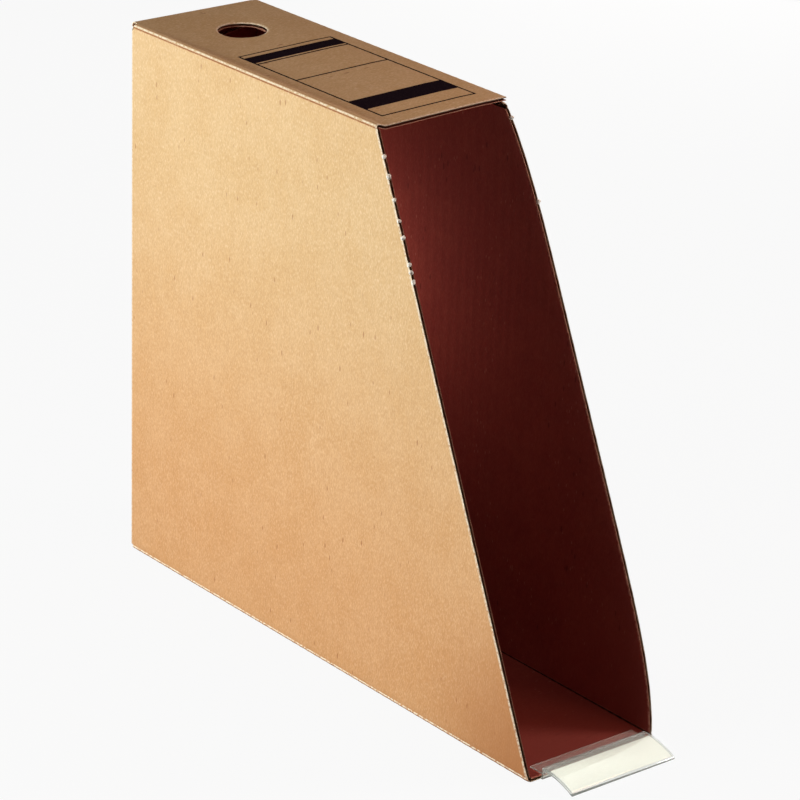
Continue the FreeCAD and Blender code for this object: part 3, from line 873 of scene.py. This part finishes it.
def make_ply(panel, ply):
    name = f"{panel.name}_{ply}"
    across, along = (FLUTING_ACROSS, FLUTING_ALONG) if ply == "fluting" else (CELL_ACROSS, CELL_ALONG)
    if panel.hole:
        along = HOLE_ALONG
    piece = grid_over(panel, f"{name}_paper", across, along)
    for material in papers_of(panel, ply):
        piece.data.materials.append(material)
    if panel in (left_side, right_side) and ply != "inner_liner":
        folded(piece, panel)
    trim(piece, panel)
    if panel.hole:
        punch(piece, panel)
    if panel is top and ply == "outer_liner":
        print_field(piece)
    if ply != "fluting":
        # The wear attribute carries a painted highlight too, and the crease attribute painted shade.
        write_attribute(piece, "wear_and_highlight", lambda place: rubbed_and_highlit(panel, place))
    if ply == "outer_liner":
        write_attribute(piece, "crease", lambda place: bark_and_crease_shade(panel, place))
    shape(piece, panel, lambda place: PLY_DEPTH[ply](panel, place))
    thicken(piece, PLY_THICKNESS[ply], 0 if ply == "fluting" else -1)
    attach(piece, BODY.get(panel.name, "sleeve"))
    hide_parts(name)
    return piece


# %% Every ply of every panel
for panel in panels:
    for ply in PLY_DEPTH:
        made = make_ply(panel, ply)
        print(f"{made.name}: {len(made.data.polygons)} faces")

# %% [markdown]
# ## Folds that open
#
# The back panel, the tuck flap and the two dust flaps swing on their creases. A crease is not a gap: its
# outer paper runs on round the corner, over crushed fluting. Each such fold is a strip of its own, spun
# round the fold's inner corner, whose far end is stretched most of the way across the crease to the other
# panel.

# %% One fold, spun round its corner
CRUSHED_CORE, UNDER_LINER = 0.9 * MM, 0.02 * MM
STRIP_CELL = 3 * MM
# Pale all over a hinged fold: wear and painted highlight.
STRIP_WEAR_AND_HIGHLIGHT = 0.35
TINY = 0.01 * MM


def spun_strip(name, first, last, corner, axis, angle, materials, thickness, reach):
    """One row of a grid from first to last, spun round a corner and thickened inwards."""
    cells = round((last - first).length / STRIP_CELL)
    bpy.ops.object.select_all(action="DESELECT")
    bpy.ops.mesh.primitive_grid_add(x_subdivisions=cells, y_subdivisions=1, size=1)
    piece = bpy.context.object
    piece.name = piece.data.name = name
    edit(piece, lambda place: place.y > 0)
    bpy.ops.mesh.delete(type="VERT")
    mesh = bmesh.from_edit_mesh(piece.data)
    for vertex in mesh.verts:
        vertex.co = first + (last - first) * (vertex.co.x + 0.5)
    bmesh.update_edit_mesh(piece.data)
    bpy.ops.mesh.select_all(action="SELECT")
    bpy.ops.mesh.spin(steps=FOLD_STEPS, angle=-angle, center=corner, axis=axis)
    leave_edit()
    if reach.length > TINY:
        onwards = reach.normalized()
        edit(piece, lambda place: abs((place - corner).dot(onwards)) < TINY)
        bpy.ops.transform.translate(value=reach)
        leave_edit()
    face = piece.data.polygons[len(piece.data.polygons) // 2]
    outwards = face.center - corner
    outwards -= axis * outwards.dot(axis)
    if face.normal.dot(outwards) < 0:
        edit(piece, everywhere)
        bpy.ops.mesh.flip_normals()
        leave_edit()
    for material in materials:
        piece.data.materials.append(material)
    write_attribute(piece, "wear_and_highlight", lambda place: STRIP_WEAR_AND_HIGHLIGHT)
    thicken(piece, thickness)
    return piece


def fold_layers(name, first, last, corner, axis, angle, grain, reach=Vector((0, 0, 0))):
    """The outer liner and the crushed core of one fold; reach stretches its far end."""
    inwards = (corner - first) - axis * (corner - first).dot(axis)
    inwards = inwards.normalized() * (LINER + UNDER_LINER)
    layers = (
        ("outer_liner", Vector((0, 0, 0)), (grain, outer_edge), LINER, "kraft_liner"),
        ("core", inwards, (fluting_paper, fluting_edge), CRUSHED_CORE, "fluting_medium"),
    )
    pieces = []
    for layer, shift, materials, thickness, slot in layers:
        ends = first + shift, last + shift
        piece = spun_strip(f"{name}_{layer}", *ends, corner, axis, angle, materials, thickness, reach)
        pieces.append(piece)
        print(piece.name, len(piece.data.polygons))
    return pieces


# %% [markdown]
# A dust flap's fold bends only above the tuck flap. Its foot stays with the sleeve, cut free from the rest
# by the die, or else it would swing into the tuck flap.

# %% The four hinged folds
NOTCH = 0.4 * MM  # at both ends of a dust flap's fold
FOOT_HEIGHT, DIE_CUT = 9 * MM, 0.15 * MM
CREASE_SHARE = 0.9  # of the gap at its far end: a fold reaches over it, or light would shine through


def hinged_fold(name, first, last, corner, axis, angle, end, grain):
    """A fold spun from one panel, whose far end is stretched most of the way across the crease to another."""
    spun_end = corner + Matrix.Rotation(angle, 3, axis) @ (first - corner)
    crease = Vector(end) - spun_end
    crease -= axis * crease.dot(axis)
    print(name, "reaches", tuple(round(step / MM, 3) for step in crease), "mm across its crease")
    for piece in fold_layers(name, first, last, corner, axis, angle, grain, CREASE_SHARE * crease):
        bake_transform(piece)


hinged_fold(
    "back_fold", Vector((back_low.x, BACK_INSIDE, HEIGHT)), Vector((back_high.x, BACK_INSIDE, HEIGHT)),
    Vector((back_low.x, BACK_INSIDE, UNDER_TOP)), X, -QUARTER,
    (back_low.x, BACK, back_high.z), outer_across,
)
for side, x_out, x_in, highest, turn, gap in (
    ("left", LEFT, LEFT_INSIDE, UNDER_TOP - NOTCH, -QUARTER, CREASE),
    ("right", RIGHT, RIGHT_INSIDE, UNDER_GLUE_FLAP - NOTCH, QUARTER, -CREASE),
):
    foot, foot_top, bottom, summit = (
        Vector((x_out, SIDE_FOLD, height))
        for height in (BOARD + NOTCH, FOOT_HEIGHT, FOOT_HEIGHT + DIE_CUT, highest)
    )
    inner = Vector((x_in, SIDE_FOLD, foot.z))
    for piece in fold_layers(f"{side}_dust_flap_foot", foot, foot_top, inner, Z, turn, outer_upright):
        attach(piece, "sleeve")
    hinged_fold(
        f"{side}_dust_flap_fold", bottom, summit, inner, Z, turn,
        (x_in + gap, SLEEVE_BACK, bottom.z), outer_upright,
    )
hinged_fold(
    "tuck_fold", Vector((-tuck_half, BACK, TUCK_FOLD)), Vector((tuck_half, BACK, TUCK_FOLD)),
    Vector((-tuck_half, BACK_INSIDE, TUCK_FOLD)), X, -(QUARTER - TUCK_SLOPE),
    tuple(tuck_corner.project(Y) + tuck_corner.project(Z) - X * tuck_half), outer_across,
)

# %% [markdown]
# ## Torn ties
#
# The sheet in front of the slanted edge was once joined to it by small ties. Where they were torn off, each
# has left a tuft of white fibre. A tuft starts as a small ball in its place, is pressed flat, and is then
# roughened by noise that differs from one tuft to the next.

# %% Tufts on the slanted edges
LEFT_TIES = (276.0, 267.2, 257.0, 247.8, 240.4, 228.6, 225.2, 221.0)
RIGHT_TIES = (280.5, 242.0)
TIE_RADIUS = 1.0 * MM
TIE_INWARDS, TIE_FORWARDS = 0.9 * MM, 0.15 * MM
TUFT_ROUGHNESS, COARSE_LUMPS, FINE_LUMPS = 0.45, 1100, 2700  # the lumps are per metre
TUFT_SMOOTHING = math.radians(50)


def slanted_edge(height):
    return FRONT + (TOP_FRONT - FRONT) * height / HEIGHT


def torn_tie(number, x_face, height):
    bpy.ops.object.select_all(action="DESELECT")
    inwards = 1 if x_face == LEFT else -1
    place = Vector((x_face + inwards * TIE_INWARDS, slanted_edge(height) - TIE_FORWARDS, height))
    if inwards < 0:
        place.x += bow(right_side, Vector((RIGHT, place.y, height)))
    bpy.ops.mesh.primitive_ico_sphere_add(subdivisions=3, radius=TIE_RADIUS, location=place)
    piece = bpy.context.object
    piece.name = piece.data.name = f"torn_tie_{number}"
    edit(piece, everywhere)
    bpy.ops.transform.resize(value=(1.15, 0.8, 0.9 + 0.2 * (number % 3)))
    leave_edit()
    bpy.ops.object.transform_apply(location=True, rotation=True, scale=True)
    for vertex in piece.data.vertices:
        coarse = noise.noise(vertex.co * COARSE_LUMPS + Vector((number, 0, 0)))
        rough = coarse + 0.5 * noise.noise(vertex.co * FINE_LUMPS)
        vertex.co += vertex.normal * rough * TUFT_ROUGHNESS * TIE_RADIUS
    bpy.ops.object.shade_smooth_by_angle(angle=TUFT_SMOOTHING)
    piece.data.materials.append(torn_fibre)
    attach(piece, "sleeve")


ties = [(LEFT, height) for height in LEFT_TIES] + [(RIGHT, height) for height in RIGHT_TIES]
for number, (x_face, height) in enumerate(ties, 1):
    torn_tie(number, x_face, height * MM)
print(len(ties), "torn ties")

# %% [markdown]
# ## Clear plastic and white card
#
# The label holder is extruded rigid PVC: clear, faintly grey-green and a little milky, with a soft shine
# and fine lines along its length from the die. Lamps shine through it onto the card, so for shadow rays it
# is transparent. The card is matte white paper.

# %% Clear plastic
DIE_LINE = 0.7 * MM
MILKY_SHARE = 0.1


def clear_plastic():
    material, tree = new_material("clear_rigid_pvc")
    place = add_node(tree, "TexCoord").outputs["Object"]
    drawn = add_node(tree, "Mapping", {}, {"Vector": place, "Scale": (0.03, 1, 1)}).outputs["Vector"]
    lines = add_node(
        tree, "TexNoise", {}, {"Vector": drawn, "Scale": 1 / DIE_LINE, "Detail": 2.0}
    ).outputs["Fac"]
    bump = add_node(
        tree, "Bump", {}, {"Strength": 0.15, "Distance": 0.02 * MM, "Height": lines}
    ).outputs["Normal"]
    scuffs = ramp(tree, lines, 0.3, 0.7, 0.04, 0.10)
    plastic = add_node(
        tree, "BsdfPrincipled", {},
        {"Base Color": colour("#F0F2EF"), "Roughness": scuffs, "IOR": 1.53, "Normal": bump},
    )
    plastic.inputs["Transmission Weight"].default_value = 1.0
    milky = add_node(tree, "BsdfDiffuse", {}, {"Color": colour("#E4E8E0")}).outputs["BSDF"]
    body = add_node(
        tree, "MixShader", {}, {"Fac": MILKY_SHARE, 1: plastic.outputs["BSDF"], 2: milky}
    ).outputs["Shader"]
    through = add_node(tree, "BsdfTransparent", {}, {"Color": colour("#F1F2EF")}).outputs["BSDF"]
    shadow = add_node(tree, "LightPath").outputs["Is Shadow Ray"]
    mixed = add_node(tree, "MixShader", {}, {"Fac": shadow, 1: body, 2: through}).outputs["Shader"]
    add_node(tree, "OutputMaterial", {}, {"Surface": mixed})
    return material


# %% White card
CARD_FIBRE = 1.2 * MM


def white_card():
    material, tree = new_material("white_card")
    place = add_node(tree, "TexCoord").outputs["Object"]
    fibre = add_node(
        tree, "TexNoise", {}, {"Vector": place, "Scale": 1 / CARD_FIBRE, "Detail": 3.0}
    ).outputs["Fac"]
    shade = tinted(tree, ramp(tree, fibre, 0.3, 0.7), colour("#DDDCD6"), colour("#E5E4DE"))
    bump = add_node(
        tree, "Bump", {}, {"Strength": 0.2, "Distance": 0.02 * MM, "Height": fibre}
    ).outputs["Normal"]
    surface = add_node(
        tree, "BsdfPrincipled", {}, {"Base Color": shade, "Roughness": 0.8, "Normal": bump}
    )
    add_node(tree, "OutputMaterial", {}, {"Surface": surface.outputs["BSDF"]})
    return material


pvc, card_paper = clear_plastic(), white_card()
print("materials:", pvc.name, card_paper.name)

# %% [markdown]
# ## The label holder's section
#
# The holder is one extrusion, so we draw its section once, from point to point, and push it along. A U of
# two legs grips the floor's front edge; from its ridge a curved double wall falls forwards to a rounded
# lip, and the slot between the two walls holds the card.

# %% Points of the section
PLASTIC, CLIP_PLAY = 0.7 * MM, 0.1 * MM
UPPER_LEG, LOWER_LEG = 8.5 * MM, 7 * MM
RIDGE = Vector((0, FRONT - CLIP_PLAY, 6.2 * MM))
LIP = Vector((0, FRONT - 22 * MM, 1.8 * MM))
CROWN, WINDOW_WALL, CARD_SLOT, CARD = 1.6 * MM, 0.6 * MM, 0.5 * MM, 0.3 * MM
BAND = 4.5 * MM
RIDGE_ROUND = 0.55 * MM
CARD_PLAY = 0.3 * MM


def angle_from(centre, place):
    """From straight up, growing towards the front."""
    return math.atan2(centre.y - place.y, place.z - centre.z)


def arc(centre, radius, start, end, steps):
    angles = [start + (end - start) * i / steps for i in range(steps + 1)]
    return [centre + Vector((0, -math.sin(a), math.cos(a))) * radius for a in angles]


chord = LIP - RIDGE
WINDOW_RADIUS = (chord.length**2 / 4 + CROWN**2) / (2 * CROWN)
upwards = X.cross(chord).normalized()
upwards *= 1 if upwards.z > 0 else -1
window_centre = (RIDGE + LIP) / 2 - upwards * (WINDOW_RADIUS - CROWN)
ridge_angle, lip_angle = angle_from(window_centre, RIDGE), angle_from(window_centre, LIP)
slot_outside = WINDOW_RADIUS - WINDOW_WALL
slot_inside = slot_outside - CARD_SLOT
window_inside = slot_inside - WINDOW_WALL
slot_start, slot_end = ridge_angle + BAND / WINDOW_RADIUS, lip_angle - WINDOW_WALL / WINDOW_RADIUS
lip_round = (WINDOW_RADIUS - window_inside) / 2
lip_centre = arc(window_centre, WINDOW_RADIUS - lip_round, lip_angle, lip_angle, 1)[0]

round_y = RIDGE.y - RIDGE_ROUND
round_z = window_centre.z + math.sqrt((WINDOW_RADIUS - RIDGE_ROUND) ** 2 - (window_centre.y - round_y) ** 2)
round_centre = Vector((0, round_y, round_z))
round_end = angle_from(window_centre, round_centre)
web_front = FRONT - CLIP_PLAY - PLASTIC
web_angle = math.asin((window_centre.y - web_front) / window_inside)
ON_FLOOR = BOARD + CLIP_PLAY


def corner(y, z):
    return [Vector((0, y, z))]


holder_outline = (
    corner(FRONT + UPPER_LEG, ON_FLOOR) + corner(FRONT + UPPER_LEG, ON_FLOOR + PLASTIC)
    + corner(RIDGE.y, ON_FLOOR + PLASTIC)
    + arc(round_centre, RIDGE_ROUND, -math.pi / 2, round_end, 8)
    + arc(window_centre, WINDOW_RADIUS, round_end, lip_angle, 28)[1:]
    + arc(lip_centre, lip_round, lip_angle, lip_angle + math.pi, 10)[1:]
    + arc(window_centre, window_inside, lip_angle, web_angle, 24)[1:]
    + corner(web_front, CLIP_PLAY) + corner(FRONT + LOWER_LEG, CLIP_PLAY)
    + corner(FRONT + LOWER_LEG, CLIP_PLAY + PLASTIC) + corner(RIDGE.y, CLIP_PLAY + PLASTIC)
    + corner(RIDGE.y, ON_FLOOR)
)
slot_outline = arc(window_centre, slot_outside, slot_start, slot_end, 20)
slot_outline += arc(window_centre, slot_inside, slot_end, slot_start, 20)
card_middle = (slot_inside + slot_outside) / 2
card_play = CARD_PLAY / WINDOW_RADIUS
card_outline = arc(window_centre, card_middle + CARD / 2, slot_start + card_play, slot_end - card_play, 20)
card_outline += arc(window_centre, card_middle - CARD / 2, slot_end - card_play, slot_start + card_play, 20)
print(f"section points: holder {len(holder_outline)}, slot {len(slot_outline)}, card {len(card_outline)}")

# %% Draw a section and push it along X
BEVEL_FROM = math.radians(50)
PLASTIC_SMOOTHING = math.radians(22)


def draw_loop(points):
    """Extrudes the selected vertex from point to point, and back to where it began."""
    for start, end in zip(points, points[1:] + points[:1]):
        bpy.ops.mesh.extrude_vertices_move(TRANSFORM_OT_translate={"value": end - start})


def extruded(name, outlines, low_x, high_x, bevel):
    bpy.ops.object.select_all(action="DESELECT")
    bpy.ops.mesh.primitive_plane_add(size=MM)
    piece = bpy.context.object
    piece.name = piece.data.name = name
    edit(piece, everywhere)
    bpy.ops.mesh.merge(type="CENTER")
    here = Vector((0, 0, 0))
    for outline in outlines:
        begin = outline[0] + X * low_x
        if here.length:
            bpy.ops.mesh.duplicate()
        bpy.ops.transform.translate(value=begin - here)
        draw_loop(outline)
        here = begin
    bpy.ops.mesh.select_all(action="SELECT")
    bpy.ops.mesh.remove_doubles(threshold=MERGE_DISTANCE)
    bpy.ops.mesh.fill(use_beauty=True)
    bpy.ops.mesh.select_all(action="SELECT")
    bpy.ops.mesh.extrude_region_move(TRANSFORM_OT_translate={"value": (high_x - low_x, 0, 0)})
    bpy.ops.mesh.select_all(action="SELECT")
    bpy.ops.mesh.normals_make_consistent(inside=False)
    bpy.ops.mesh.select_all(action="DESELECT")
    bpy.ops.mesh.select_mode(type="EDGE")
    mesh = bmesh.from_edit_mesh(piece.data)
    for edge in mesh.edges:
        edge.select_set(len(edge.link_faces) == 2 and edge.calc_face_angle() > BEVEL_FROM)
    bpy.ops.mesh.bevel(offset=bevel, segments=2, affect="EDGES")
    leave_edit()
    bpy.ops.object.shade_smooth_by_angle(angle=PLASTIC_SMOOTHING)
    return piece


# %% The holder and its card
HOLDER_BEVEL, CARD_BEVEL = 0.12 * MM, 0.04 * MM
section = (holder_outline, slot_outline)
holder = extruded("label_holder_clip", section, clip_low.x, clip_high.x, HOLDER_BEVEL)
holder.data.materials.append(pvc)
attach(holder, "label_holder")
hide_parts("label_holder")

card_low, card_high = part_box("label_card")
card = extruded("label_card_strip", (card_outline,), card_low.x, card_high.x, CARD_BEVEL)
card.data.materials.append(card_paper)
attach(card, "label_card")
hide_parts("label_card")
print("holder", len(holder.data.polygons), "faces; card", len(card.data.polygons), "faces")

# %% [markdown]
# ## Setting the stage
#
# A plain pale floor and weak warm light from all round. Five soft lamps: the key from the left; one from
# the front right that reaches through the slanted opening; weak ones over the top and behind the right;
# and a very weak one inside the box. That last one stands in for the light that brown papers throw
# to and fro among themselves, which a few bounces don't give. The floor is grey to the lamps but nearly
# white to the camera, so the backdrop is pale without more light on the box, and shadows stay.

# %% What counts as seen


def seen_directly(tree):
    """1 for what the camera sees, straight or in a reflection or through the plastic."""
    path = add_node(tree, "LightPath")
    seen = path.outputs["Is Camera Ray"]
    for ray in ("Is Glossy Ray", "Is Transmission Ray"):
        seen = add_node(tree, "Math", {"operation": "MAXIMUM"}, {0: seen, 1: path.outputs[ray]}).outputs[0]
    return seen


# %% Floor and world
PAPER_GREY = "#9C9C9C"
BACKDROP_SHARE = 0.93
AMBIENT, AMBIENT_TINT = 0.045, "#FFD8CC"


def stage_floor():
    bpy.ops.object.select_all(action="DESELECT")
    bpy.ops.mesh.primitive_plane_add(size=12)
    plane = bpy.context.object
    plane.name = "studio_floor"
    material, tree = new_material("studio_paper")
    matte = add_node(tree, "BsdfDiffuse", {}, {"Color": colour(PAPER_GREY)}).outputs["BSDF"]
    white = add_node(tree, "Emission", {}, {"Color": (1, 1, 1, 1), "Strength": 1.0}).outputs["Emission"]
    seen = seen_directly(tree)
    share = add_node(
        tree, "Math", {"operation": "MULTIPLY"}, {0: seen, 1: BACKDROP_SHARE}
    ).outputs[0]
    mixed = add_node(tree, "MixShader", {}, {"Fac": share, 1: matte, 2: white}).outputs["Shader"]
    add_node(tree, "OutputMaterial", {}, {"Surface": mixed})
    plane.data.materials.append(material)


def stage_world():
    world = bpy.data.worlds.new("studio")
    bpy.context.scene.world = world
    world.use_nodes = True
    tree = world.node_tree
    tree.nodes.clear()
    seen = seen_directly(tree)
    warm = tuple(AMBIENT * channel for channel in colour(AMBIENT_TINT)[:3])
    shade = tinted(tree, seen, (*warm, 1), (1, 1, 1, 1))
    light = add_node(tree, "Background", {}, {"Color": shade, "Strength": 1.0}).outputs["Background"]
    add_node(tree, "OutputWorld", {}, {"Surface": light})


stage_floor()
stage_world()
print("floor and world")

# %% Lamps


def lamp(name, place, aim, size, watts, tint="#FFFFFF"):
    """A square area lamp at a place, turned to face another; it isn't itself seen."""
    data = bpy.data.lights.new(name, "AREA")
    data.shape, data.size, data.energy = "SQUARE", size, watts
    data.color = colour(tint)[:3]
    made = bpy.data.objects.new(name, data)
    made.location = place
    made.rotation_euler = (Vector(place) - Vector(aim)).to_track_quat("Z", "Y").to_euler()
    made.visible_camera = False
    bpy.context.scene.collection.objects.link(made)


lamp("key", (-0.95, 0.22, 0.42), (LEFT, 0, 0.16), 0.40, 12.6, "#F8FFFF")
lamp("front_right", (0.64, -0.44, 0.33), (0, -0.10, 0.10), 0.20, 3.4)
lamp("front_top", (0.22, -0.22, 0.62), (0, 0, HEIGHT), 0.25, 0.7, "#FFCCB4")
lamp("rear_fill", (0.95, 0.75, 0.30), (0.02, 0.05, 0.12), 0.6, 5.0, "#FFF6F0")
lamp("glow_inside", (-0.015, 0.115, 0.17), (RIGHT, 0.03, 0.18), 0.03, 0.10, "#FFE6E0")
print(len(bpy.data.lights), "lamps")

# %% [markdown]
# ## The camera
#
# A long lens from the front left, a little above. The lens, the two angles and the roll come from the
# perspective of the box's own edges.

# %% Camera
SENSOR = 36.0
LENS = 163.86
YAW, PITCH, ROLL = math.radians(-39.302), math.radians(22.123), math.radians(1.779)
DISTANCE = 1796.1 * MM
SIDEWAYS, UPWARDS = 7.69 * MM, -13.80 * MM


def stage_camera():
    data = bpy.data.cameras.new("camera")
    data.sensor_width, data.lens = SENSOR, LENS
    data.clip_start, data.clip_end = 0.05, 50
    away = Vector((math.sin(YAW) * math.cos(PITCH), -math.cos(YAW) * math.cos(PITCH), math.sin(PITCH)))
    right = (-away).cross(Z).normalized()
    up = right.cross(-away)
    rolled_right = right * math.cos(ROLL) + up * math.sin(ROLL)
    rolled_up = up * math.cos(ROLL) - right * math.sin(ROLL)
    camera = bpy.data.objects.new("camera", data)
    place = Vector((0, 0, HEIGHT / 2)) + away * DISTANCE + rolled_right * SIDEWAYS + rolled_up * UPWARDS
    camera.matrix_world = Matrix.Translation(place) @ Matrix(
        (rolled_right, rolled_up, away)
    ).transposed().to_4x4()
    bpy.context.scene.collection.objects.link(camera)
    bpy.context.scene.camera = camera


stage_camera()
bpy.context.scene.view_settings.view_transform = "Standard"
print(f"camera: {LENS:.0f} mm lens, {DISTANCE:.2f} m away")
